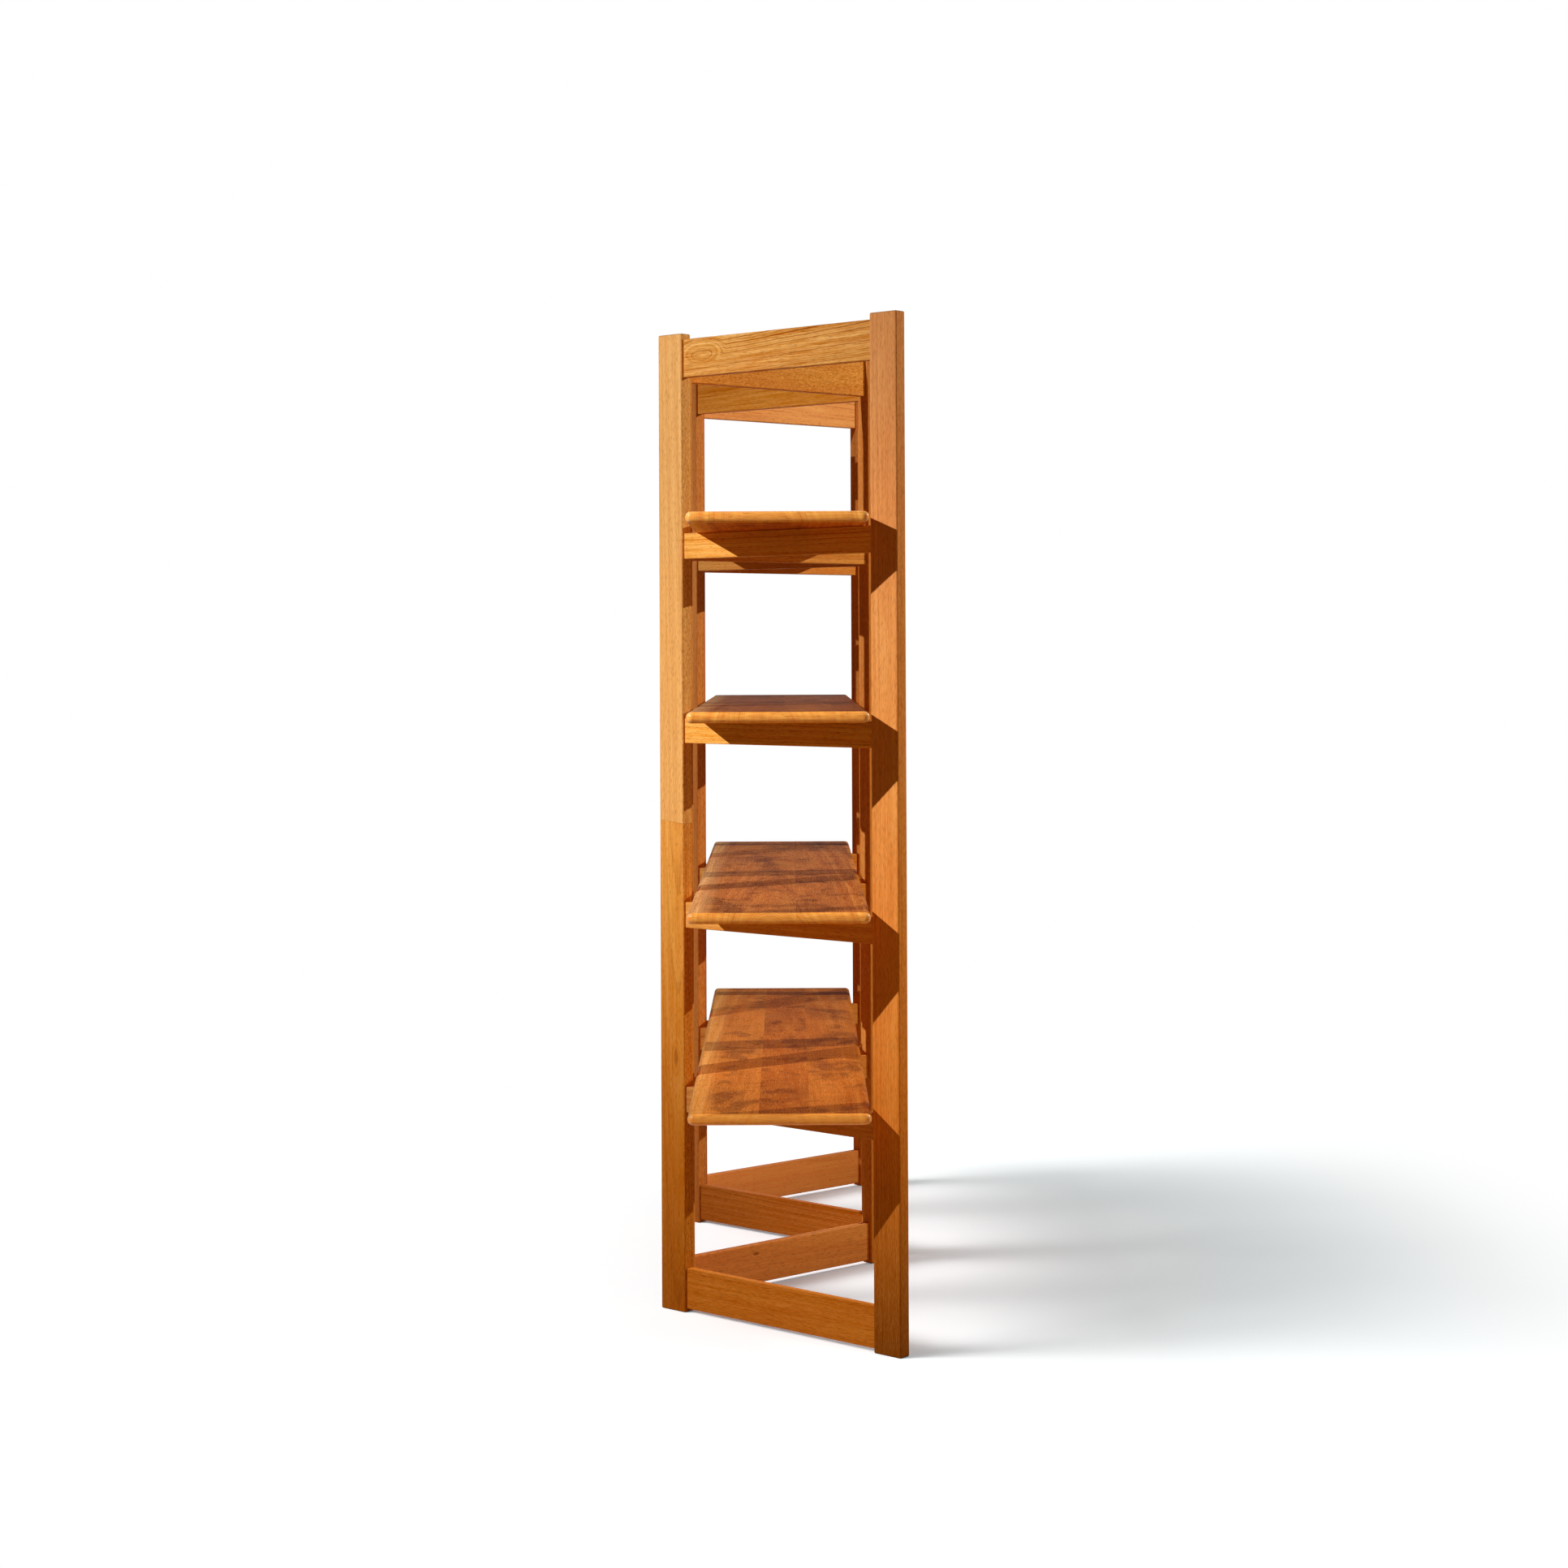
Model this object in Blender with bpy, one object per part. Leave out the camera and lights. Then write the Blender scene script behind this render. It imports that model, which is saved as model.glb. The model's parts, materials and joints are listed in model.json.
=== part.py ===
# Folding room divider bookcase: four ladder frames hinged in a zigzag, with four long shelves
# threaded through them. Metres, +Z up. The origin is on the floor, midway between the frames.
# The shelves run along Y. Left is -X and right is +X, seen from the near end at -Y.

import bpy
import bmesh
from math import cos, pi, radians, sin
from mathutils import Matrix, Vector

# Frames
frame_count = 4
frame_width = 0.582
frame_height = 1.830
fold_angle = radians(41.8)  # between each frame and the X axis, as the bookcase stands
fixed_frame = 2  # the others fold about this one

# Posts
post_width = 0.061
post_thickness = 0.0255
post_edge_radius = 0.003

# Rails
rail_thickness = 0.016
rail_edge_radius = 0.002
top_rail_height = 0.072
top_rail_drop = 0.011  # from the post's top to the rail's top
shelf_rail_height = 0.048
bottom_rail_height = 0.075
bottom_rail_lift = 0.007  # from the floor to the rail's underside

# Tenons on the rails' ends, and the mortises that hold them
tenon_length = 0.030
tenon_thickness = 0.008
tenon_shoulder = 0.010  # above and below the tenon

# Shelves
shelf_count = 4
shelf_overhang = 0.083  # past the four frames' run, at each end
shelf_side_clearance = 0.0045  # between a shelf and the posts' inner corners
shelf_thickness = 0.0195
shelf_corner_radius = 0.012  # in plan
shelf_edge_radius = 0.009  # top and bottom edges, nearly a full round
lowest_shelf_underside = 0.4205
top_shelf_drop = 0.3745  # from the posts' top to the top shelf's underside

# Butt hinges
hinge_height = 0.076
folded_gap = 0.002  # between two frames' faces when folded flat
leaf_width = 0.034  # from the pin's axis
leaf_thickness = 0.0016
leaf_corner_radius = 0.005
knuckle_radius = 0.003
knuckle_count = 5
knuckle_gap = 0.0004
pin_radius = 0.0014
pin_head_radius = 0.0024
pin_head_height = 0.0012
screw_head_radius = 0.0036
screw_head_rise = 0.0005
screw_radius = 0.0016
screw_length = 0.016
screw_inset = 0.012  # from the leaf's ends to the outer screws
screw_from_axis = 0.021

# Clearances
touch_gap = 0.0003  # between pieces that touch
pin_gap = 0.0003  # between the pin and the knuckles' bore
knuckle_housing_gap = 0.0006  # between the knuckles and the wood that is cut for them

# Facets
knuckle_sides = 12
small_round_sides = 8
edge_segments = 2
corner_segments = 4

# Sizes that follow
rail_run = frame_width - 2 * post_width - 2 * touch_gap
post_offset = (frame_width - post_width) / 2
hinge_offset = (post_thickness + folded_gap) / 2  # from a frame's middle plane to its pin
frame_pitch = frame_width * sin(fold_angle) + 2 * hinge_offset * cos(fold_angle)
corridor = (frame_width - 2 * post_width) * cos(fold_angle) - post_thickness * sin(fold_angle)
shelf_width = corridor - 2 * shelf_side_clearance
shelf_length = frame_count * frame_pitch + 2 * shelf_overhang
shelf_spacing = (frame_height - top_shelf_drop - lowest_shelf_underside) / (shelf_count - 1)
knuckle_pitch = hinge_height / knuckle_count
knuckle_length = knuckle_pitch - knuckle_gap
bore_radius = (pin_radius + pin_gap) / cos(pi / small_round_sides)
housing_radius = (knuckle_radius + knuckle_housing_gap) / cos(pi / knuckle_sides)
leaf_start = housing_radius + touch_gap  # the plate begins here, clear of the other leaf's knuckles


def clear_scene():
    for item in list(bpy.data.objects):
        bpy.data.objects.remove(item, do_unlink=True)


def make_material(name, colour, roughness, metallic):
    material = bpy.data.materials.new(name)
    material.use_nodes = True
    shader = material.node_tree.nodes["Principled BSDF"]
    shader.inputs["Base Color"].default_value = (*colour, 1.0)
    shader.inputs["Roughness"].default_value = roughness
    shader.inputs["Metallic"].default_value = metallic
    material.diffuse_color = (*colour, 1.0)
    return material


def add_box(shape, low, high):
    """Adds a box to the bmesh, from one corner to the opposite one."""
    low = Vector(low)
    high = Vector(high)
    size = Matrix.Diagonal((*(high - low), 1.0))
    bmesh.ops.create_cube(shape, size=1.0, matrix=Matrix.Translation((low + high) / 2) @ size)


def add_cylinder(shape, radius, low, high, sides, at=(0.0, 0.0), axis="Z"):
    """Adds a cylinder to the bmesh. It stands on Z, or lies along Y with at giving its X and Z."""
    made = bmesh.ops.create_cone(
        shape, cap_ends=True, segments=sides, radius1=radius, radius2=radius, depth=high - low
    )
    middle = (low + high) / 2
    half_step = Matrix.Rotation(pi / sides, 4, "Z")
    if axis == "Z":
        move = Matrix.Translation((at[0], at[1], middle))
    else:
        move = Matrix.Translation((at[0], middle, at[1])) @ Matrix.Rotation(pi / 2, 4, "X")
    bmesh.ops.transform(shape, matrix=move @ half_step, verts=made["verts"])


def mesh_from(shape, name):
    mesh = bpy.data.meshes.new(name)
    bmesh.ops.recalc_face_normals(shape, faces=shape.faces)
    shape.to_mesh(mesh)
    shape.free()
    return mesh


def combined(base, steps, name):
    """The mesh that is left after each (operation, mesh) step is done on the base mesh."""
    scene = bpy.context.scene.collection
    body = bpy.data.objects.new("working_body", base)
    scene.objects.link(body)
    helpers = [body]
    for operation, mesh in steps:
        tool = bpy.data.objects.new("working_tool", mesh)
        scene.objects.link(tool)
        tool.hide_render = True
        tool.display_type = "WIRE"
        modifier = body.modifiers.new(operation.lower(), "BOOLEAN")
        modifier.operation = operation
        modifier.solver = "EXACT"
        modifier.object = tool
        helpers.append(tool)
    bpy.context.view_layer.update()
    graph = bpy.context.evaluated_depsgraph_get()
    result = bpy.data.meshes.new_from_object(body.evaluated_get(graph))
    result.name = name
    for helper in helpers:
        bpy.data.objects.remove(helper, do_unlink=True)
    return result


def rounded_box_mesh(low, high, radius):
    """A box with its edges rounded."""
    shape = bmesh.new()
    add_box(shape, low, high)
    bmesh.ops.bevel(
        shape, geom=shape.edges[:], offset=radius, offset_type="OFFSET", segments=edge_segments,
        profile=0.5, affect="EDGES",
    )
    return mesh_from(shape, "rounded_box")


# Rails of one frame from the floor up, as (name, underside, height)
def rail_levels():
    levels = [("bottom_rail", bottom_rail_lift, bottom_rail_height)]
    for index in range(shelf_count):
        rail_top = lowest_shelf_underside + index * shelf_spacing - touch_gap
        levels.append((f"rail_{index + 1}", rail_top - shelf_rail_height, shelf_rail_height))
    top = frame_height - top_rail_drop
    levels.append(("top_rail", top - top_rail_height, top_rail_height))
    return levels


# Rail: a board with eased edges and a tenon at each end, centred on X, standing on Z = 0
def rail_mesh(height):
    half_run = rail_run / 2
    half_thickness = rail_thickness / 2
    board = rounded_box_mesh(
        (-half_run, -half_thickness, 0.0), (half_run, half_thickness, height), rail_edge_radius
    )
    tenons = bmesh.new()
    half_tenon = tenon_thickness / 2
    add_box(
        tenons,
        (-half_run - tenon_length, -half_tenon, tenon_shoulder),
        (half_run + tenon_length, half_tenon, height - tenon_shoulder),
    )
    return combined(board, [("UNION", mesh_from(tenons, "tenons"))], "rail")


# Mortises of a post whose inner edge is on +X, one for each rail
def mortise_cutter():
    cutter = bmesh.new()
    reach = post_width / 2
    half = tenon_thickness / 2 + touch_gap
    for _, underside, height in rail_levels():
        add_box(
            cutter,
            (reach - tenon_length - 2 * touch_gap, -half, underside + tenon_shoulder - touch_gap),
            (reach + post_width, half, underside + height - tenon_shoulder + touch_gap),
        )
    return mesh_from(cutter, "mortises")


# Undersides of the hinges on each line: one in the middle of the lowest bay, one in the highest
def hinge_levels():
    bottom_rail, first_rail, *_ = rail_levels()
    *_, last_rail, top_rail = rail_levels()
    levels = {}
    for name, below, above in (("lower", bottom_rail, first_rail), ("upper", last_rail, top_rail)):
        bay_middle = (below[1] + below[2] + above[1]) / 2
        levels[name] = bay_middle - hinge_height / 2
    return levels


# Recesses for the leaves. side is 1 for hinges on the post's back face (+Y) and -1 for its front face
def leaf_recess_cutter(side):
    cutter = bmesh.new()
    face = side * post_thickness / 2
    floor = face - side * (leaf_thickness + touch_gap)
    outside = face + side * post_thickness
    for underside in hinge_levels().values():
        inner_end = leaf_width - post_width / 2 + touch_gap
        add_box(
            cutter,
            (-post_width, min(floor, outside), underside - touch_gap),
            (inner_end, max(floor, outside), underside + hinge_height + touch_gap),
        )
    return mesh_from(cutter, "leaf_recesses")


# Round housings for the knuckles, about the pin's axis
def knuckle_cutter(side):
    cutter = bmesh.new()
    axis = (-post_width / 2, side * hinge_offset)
    for underside in hinge_levels().values():
        low = underside - pin_head_height - 2 * touch_gap
        high = underside + hinge_height + pin_head_height + 2 * touch_gap
        add_cylinder(cutter, housing_radius, low, high, knuckle_sides, axis)
    return mesh_from(cutter, "knuckle_housings")


def screw_heights():
    return (screw_inset, hinge_height / 2, hinge_height - screw_inset)


# Pilot holes for the screws
def pilot_cutter(side):
    cutter = bmesh.new()
    radius = (screw_radius + touch_gap) / cos(pi / small_round_sides)
    face = side * post_thickness / 2
    bottom = face - side * (screw_length + touch_gap)
    outside = face + side * post_thickness
    for underside in hinge_levels().values():
        for height in screw_heights():
            at = (-post_width / 2 + screw_from_axis, underside + height)
            low = min(bottom, outside)
            high = max(bottom, outside)
            add_cylinder(cutter, radius, low, high, small_round_sides, at, axis="Y")
    return mesh_from(cutter, "pilot_holes")


# Post for a frame's left end, its inner edge on +X. side says which face holds hinges, 0 for neither
def post_mesh(side):
    half_width = post_width / 2
    half_thickness = post_thickness / 2
    board = rounded_box_mesh(
        (-half_width, -half_thickness, 0.0), (half_width, half_thickness, frame_height), post_edge_radius
    )
    steps = [("DIFFERENCE", mortise_cutter())]
    if side:
        steps.append(("DIFFERENCE", leaf_recess_cutter(side)))
        steps.append(("DIFFERENCE", knuckle_cutter(side)))
        steps.append(("DIFFERENCE", pilot_cutter(side)))
    return combined(board, steps, "post")


# Shelf board: its outline in plan has round corners, and its top and bottom edges are rounded over
def shelf_mesh():
    shape = bmesh.new()
    outline = []
    corner_x = shelf_width / 2 - shelf_corner_radius
    corner_y = shelf_length / 2 - shelf_corner_radius
    for quarter, (sign_x, sign_y) in enumerate(((1, 1), (-1, 1), (-1, -1), (1, -1))):
        for step in range(corner_segments + 1):
            angle = (quarter + step / corner_segments) * pi / 2
            x = sign_x * corner_x + shelf_corner_radius * cos(angle)
            y = sign_y * corner_y + shelf_corner_radius * sin(angle)
            outline.append(shape.verts.new((x, y, 0.0)))
    bottom = shape.faces.new(outline)
    lifted = bmesh.ops.extrude_face_region(shape, geom=[bottom])
    top_verts = [item for item in lifted["geom"] if isinstance(item, bmesh.types.BMVert)]
    bmesh.ops.translate(shape, vec=(0.0, 0.0, shelf_thickness), verts=top_verts)
    rims = [edge for edge in shape.edges if abs(edge.verts[0].co.z - edge.verts[1].co.z) < 1e-6]
    bmesh.ops.bevel(
        shape, geom=rims, offset=shelf_edge_radius, offset_type="OFFSET", segments=corner_segments,
        profile=0.5, affect="EDGES",
    )
    return mesh_from(shape, "shelf")


# Leaf with its origin on the pin's axis at the hinge's underside, and its plate towards +X. side is 1
# for a leaf that faces +Y and -1 for one that faces -Y. knuckles lists those it has, counted from below
def leaf_mesh(knuckles, side):
    face = -side * folded_gap / 2
    plate_low = min(face, face - side * leaf_thickness)
    plate_high = max(face, face - side * leaf_thickness)
    plate = bmesh.new()
    add_box(plate, (leaf_start, plate_low, 0.0), (leaf_width, plate_high, hinge_height))
    outer_edges = [
        edge for edge in plate.edges
        if all(vert.co.x > leaf_width - 1e-6 for vert in edge.verts)
        and abs(edge.verts[0].co.y - edge.verts[1].co.y) > 1e-6
    ]
    bmesh.ops.bevel(
        plate, geom=outer_edges, offset=leaf_corner_radius, offset_type="OFFSET",
        segments=edge_segments, profile=0.5, affect="EDGES",
    )
    tabs = bmesh.new()
    barrels = bmesh.new()
    for index in knuckles:
        low = index * knuckle_pitch + knuckle_gap / 2
        high = low + knuckle_length
        add_box(tabs, (0.0, plate_low, low), (leaf_start + leaf_thickness, plate_high, high))
        add_cylinder(barrels, knuckle_radius, low, high, knuckle_sides)
    screws = bmesh.new()
    heads = bmesh.new()
    middle = face - side * leaf_thickness / 2
    tip = face - side * screw_length
    crown = face + side * screw_head_rise
    for height in screw_heights():
        at = (screw_from_axis, height)
        for shape, radius, end in ((screws, screw_radius, tip), (heads, screw_head_radius, crown)):
            low = min(end, middle)
            high = max(end, middle)
            add_cylinder(shape, radius, low, high, small_round_sides, at, axis="Y")
    bore = bmesh.new()
    add_cylinder(bore, bore_radius, -hinge_height, 2 * hinge_height, small_round_sides)
    steps = [
        ("UNION", mesh_from(tabs, "tabs")),
        ("UNION", mesh_from(barrels, "barrels")),
        ("DIFFERENCE", mesh_from(bore, "bore")),
        ("UNION", mesh_from(heads, "heads")),
        ("UNION", mesh_from(screws, "screws")),
    ]
    return combined(mesh_from(plate, "plate"), steps, "leaf")


# Pin: a rod through the knuckles with a flat head at each end
def pin_mesh():
    shape = bmesh.new()
    profile = [
        (0.0, -pin_head_height - touch_gap),
        (pin_head_radius, -pin_head_height - touch_gap),
        (pin_head_radius, -touch_gap),
        (pin_radius, -touch_gap),
        (pin_radius, hinge_height + touch_gap),
        (pin_head_radius, hinge_height + touch_gap),
        (pin_head_radius, hinge_height + touch_gap + pin_head_height),
        (0.0, hinge_height + touch_gap + pin_head_height),
    ]
    verts = [shape.verts.new((radius, 0.0, height)) for radius, height in profile]
    edges = [shape.edges.new(pair) for pair in zip(verts, verts[1:])]
    bmesh.ops.spin(
        shape, geom=verts + edges, cent=(0.0, 0.0, 0.0), axis=(0.0, 0.0, 1.0), angle=2 * pi,
        steps=small_round_sides, use_merge=True, use_duplicate=False,
    )
    bmesh.ops.remove_doubles(shape, verts=shape.verts, dist=1e-6)
    return mesh_from(shape, "pin")


def add_object(name, mesh, material, parent, location, turn=0.0):
    item = bpy.data.objects.new(name, mesh)
    bpy.context.scene.collection.objects.link(item)
    item.parent = parent
    item.location = location
    item.rotation_euler = (0.0, 0.0, turn)
    if not mesh.materials:
        mesh.materials.append(material)
    return item


def add_empty(name, location, turn):
    item = bpy.data.objects.new(name, None)
    item.location = location
    item.rotation_euler = (0.0, 0.0, turn)
    bpy.context.scene.collection.objects.link(item)
    return item


# Frames lean alternately: odd ones run from far left to near right, even ones from near left to far right
def frame_turn(number):
    return -fold_angle if number % 2 else fold_angle


def frame_centre(number):
    return Vector((0.0, (number - (frame_count + 1) / 2) * frame_pitch, 0.0))


# Line n joins frame n to the next one: odd lines are at the left ends and even ones at the right ends
def line_end(line):
    return -1 if line % 2 else 1


# Which face of a frame the line's hinges are on: 1 for its back and -1 for its front
def line_side(line, number):
    facing = 1 if number % 2 else -1
    return -line_end(line) * facing


# Where a line's axis is, in the axes of a frame that it joins
def line_spot(line, number):
    end = line_end(line)
    return Vector((end * frame_width / 2, line_side(line, number) * hinge_offset, 0.0))


def lines_of(number):
    return [line for line in (number - 1, number) if 1 <= line < frame_count]


# A frame's empty stands on the axis that it folds about
def frame_pivot(number):
    if number == fixed_frame:
        return Vector((0.0, 0.0, 0.0))
    line = number if number < fixed_frame else number - 1
    return line_spot(line, number)


def place_frame(number, meshes, wood, brass):
    turn = frame_turn(number)
    pivot = frame_pivot(number)
    spot = frame_centre(number) + Matrix.Rotation(turn, 3, "Z") @ pivot
    parent = add_empty(f"frame{number}", spot, turn)
    sides = {line_end(line): line_side(line, number) for line in lines_of(number)}
    for end, label, flip in ((-1, "left", 0.0), (1, "right", pi)):
        # A post turned end for end shows its other face to the back
        mesh = meshes["posts"][-end * sides.get(end, 0)]
        place = Vector((end * post_offset, 0.0, 0.0)) - pivot
        add_object(f"frame{number}_{label}_post", mesh, wood, parent, place, flip)
    for name, underside, height in rail_levels():
        place = Vector((0.0, 0.0, underside)) - pivot
        add_object(f"frame{number}_{name}", meshes["rails"][name], wood, parent, place)
    for line in lines_of(number):
        flip = pi if line_end(line) == 1 else 0.0
        facing = 1 if number % 2 else -1
        for level, underside in hinge_levels().items():
            label = f"hinge{line}{line + 1}_{level}"
            place = line_spot(line, number) + Vector((0.0, 0.0, underside)) - pivot
            leaf = meshes["leaves"][facing]
            add_object(f"{label}_leaf_frame{number}", leaf, brass, parent, place, flip)
            if facing == 1:
                add_object(f"{label}_pin", meshes["pin"], brass, parent, place, flip)


# The shelves keep their line while the frames fold, so they share an empty on the fixed frame's centre line
def place_shelves(mesh, wood):
    centre = frame_centre(fixed_frame)
    parent = add_empty("shelves", centre, 0.0)
    for index in range(shelf_count):
        height = lowest_shelf_underside + index * shelf_spacing
        add_object(f"shelf_{index + 1}", mesh, wood, parent, Vector((0.0, 0.0, height)) - centre)


def smooth_round_pieces(mesh):
    mesh.shade_smooth()
    mesh.set_sharp_from_angle(angle=radians(35))


def build():
    clear_scene()
    wood = make_material("honey_teak", (0.58, 0.27, 0.07), 0.38, 0.0)
    shelf_wood = make_material("shelf_teak", (0.38, 0.13, 0.04), 0.40, 0.0)
    brass = make_material("satin_brass", (0.62, 0.46, 0.20), 0.35, 1.0)
    meshes = {
        "posts": {side: post_mesh(side) for side in (-1, 0, 1)},
        "rails": {name: rail_mesh(height) for name, _, height in rail_levels()},
        "leaves": {
            1: leaf_mesh(range(0, knuckle_count, 2), 1),
            -1: leaf_mesh(range(1, knuckle_count, 2), -1),
        },
        "pin": pin_mesh(),
    }
    board = shelf_mesh()
    for mesh in [*meshes["posts"].values(), *meshes["leaves"].values(), meshes["pin"], board]:
        smooth_round_pieces(mesh)
    for number in range(1, frame_count + 1):
        place_frame(number, meshes, wood, brass)
    place_shelves(board, shelf_wood)


build()
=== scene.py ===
import json
from math import atan2, cos, pi, radians, sin

import bmesh
import bpy
import numpy as np
from mathutils import Matrix, Vector

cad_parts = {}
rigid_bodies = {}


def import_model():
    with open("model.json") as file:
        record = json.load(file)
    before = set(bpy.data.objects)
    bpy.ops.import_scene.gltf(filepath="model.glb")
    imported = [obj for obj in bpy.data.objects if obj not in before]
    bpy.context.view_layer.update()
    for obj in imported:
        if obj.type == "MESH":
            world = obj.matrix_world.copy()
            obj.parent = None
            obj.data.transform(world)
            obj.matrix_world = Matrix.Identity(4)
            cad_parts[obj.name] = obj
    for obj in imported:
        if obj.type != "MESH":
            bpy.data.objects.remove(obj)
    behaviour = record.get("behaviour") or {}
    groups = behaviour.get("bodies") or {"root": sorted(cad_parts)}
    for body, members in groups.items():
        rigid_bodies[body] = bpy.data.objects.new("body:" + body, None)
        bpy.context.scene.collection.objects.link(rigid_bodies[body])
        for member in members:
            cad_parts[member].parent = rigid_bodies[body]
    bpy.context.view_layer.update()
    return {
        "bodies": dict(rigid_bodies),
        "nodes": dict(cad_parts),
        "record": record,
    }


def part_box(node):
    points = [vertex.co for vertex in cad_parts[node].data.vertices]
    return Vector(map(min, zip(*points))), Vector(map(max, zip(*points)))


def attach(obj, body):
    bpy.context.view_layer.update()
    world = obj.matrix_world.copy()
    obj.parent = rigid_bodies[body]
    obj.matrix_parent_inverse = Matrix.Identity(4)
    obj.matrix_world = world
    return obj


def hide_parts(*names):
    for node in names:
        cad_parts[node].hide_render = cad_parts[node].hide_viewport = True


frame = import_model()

# Folding room divider bookcase in honey teak: four ladder frames hinged in a zigzag, four long shelves
# threaded through them. Metres, +Z up, shelves along Y, near end at -Y.


def clearStartScene():
    kept = set(frame["nodes"].values()) | set(frame["bodies"].values())
    for item in list(bpy.data.objects):
        if item not in kept:
            bpy.data.objects.remove(item, do_unlink=True)


clearStartScene()
bodyOf = {node: body for body, nodes in frame["record"]["behaviour"]["bodies"].items() for node in nodes}
print("frame loaded:", len(frame["nodes"]), "nodes")


# Shader helpers

# A value on its way to a socket. Arithmetic on it adds the Math node that works it out
class Strand:
    def __init__(self, recipe, socket):
        self.recipe = recipe
        self.socket = socket

    def __add__(self, other):
        return self.recipe.maths("ADD", self, other)

    def __sub__(self, other):
        return self.recipe.maths("SUBTRACT", self, other)

    def __rsub__(self, other):
        return self.recipe.maths("SUBTRACT", other, self)

    def __mul__(self, other):
        return self.recipe.maths("MULTIPLY", self, other)

    def __truediv__(self, other):
        return self.recipe.maths("DIVIDE", self, other)

    def __gt__(self, other):
        return self.recipe.maths("GREATER_THAN", self, other)

    def __lt__(self, other):
        return self.recipe.maths("LESS_THAN", self, other)

    __radd__ = __add__
    __rmul__ = __mul__


# A material being written: each call adds one node and gives back one of its outputs
class Recipe:
    def __init__(self, tree):
        self.tree = tree
        tree.nodes.clear()

    def node(self, kind, settings, values, output=0):
        made = self.tree.nodes.new(kind)
        for name, value in settings.items():
            setattr(made, name, value)
        pairs = values.items() if isinstance(values, dict) else enumerate(values)
        for key, value in pairs:
            if isinstance(value, Strand):
                self.tree.links.new(value.socket, made.inputs[key])
            else:
                made.inputs[key].default_value = value
        return Strand(self, made.outputs[output] if len(made.outputs) else None)

    def maths(self, operation, *values):
        return self.node("ShaderNodeMath", {"operation": operation}, values)

    def attribute(self, name):
        return self.node("ShaderNodeAttribute", {"attribute_name": name}, {}, "Vector")

    def parts(self, vector):
        split = self.node("ShaderNodeSeparateXYZ", {}, [vector])
        return [Strand(self, socket) for socket in split.socket.node.outputs]

    def vector(self, operation, *values):
        return self.node("ShaderNodeVectorMath", {"operation": operation}, values)

    def length(self, vector):
        return self.node("ShaderNodeVectorMath", {"operation": "LENGTH"}, [vector], "Value")

    def joined(self, x, y, z):
        return self.node("ShaderNodeCombineXYZ", {}, [x, y, z])

    # Noise with so many patches to the metre along each axis
    def noise(self, vector, patches, detail=2.0, roughness=0.5, distortion=0.0, output="Fac"):
        stretched = self.vector("MULTIPLY", vector, patches)
        values = {"Vector": stretched, "Scale": 1.0, "Detail": detail, "Roughness": roughness,
                  "Distortion": distortion}
        return self.node("ShaderNodeTexNoise", {}, values, output)

    def lineNoise(self, value, detail=2.0):
        return self.node("ShaderNodeTexNoise", {"noise_dimensions": "1D"},
                         {"W": value, "Scale": 1.0, "Detail": detail})

    def lineRandom(self, value, output="Value"):
        return self.node("ShaderNodeTexWhiteNoise", {"noise_dimensions": "1D"}, {"W": value}, output)

    # The low value before the start, the high one past the end, with a smooth rise between them
    def rise(self, value, start, end, low=0.0, high=1.0):
        return self.node("ShaderNodeMapRange", {"interpolation_type": "SMOOTHSTEP"},
                         [value, start, end, low, high])

    # The Mix node's sockets go by number: 0 is the share, 4 and 5 are vectors, 6 and 7 are colours
    def mix(self, share, first, second, blend="MIX"):
        values = {0: share, 6: asColour(first), 7: asColour(second)}
        return self.node("ShaderNodeMix", {"data_type": "RGBA", "blend_type": blend}, values, 2)

    def mixVector(self, share, first, second):
        return self.node("ShaderNodeMix", {"data_type": "VECTOR"}, {0: share, 4: first, 5: second}, 1)


def asColour(value):
    return value if isinstance(value, Strand) else (*value, 1.0)


# Linear colour, by the sRGB curve, from the three numbers, 0 to 255, that a picture shows it with
def shade(red, green, blue):
    share = np.array([red, green, blue]) / 255
    return tuple(np.where(share <= 0.04045, share / 12.92, ((share + 0.055) / 1.055) ** 2.4).tolist())


def newMaterial(name):
    material = bpy.data.materials.new(name)
    material.use_nodes = True
    return material, Recipe(material.node_tree)


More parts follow.
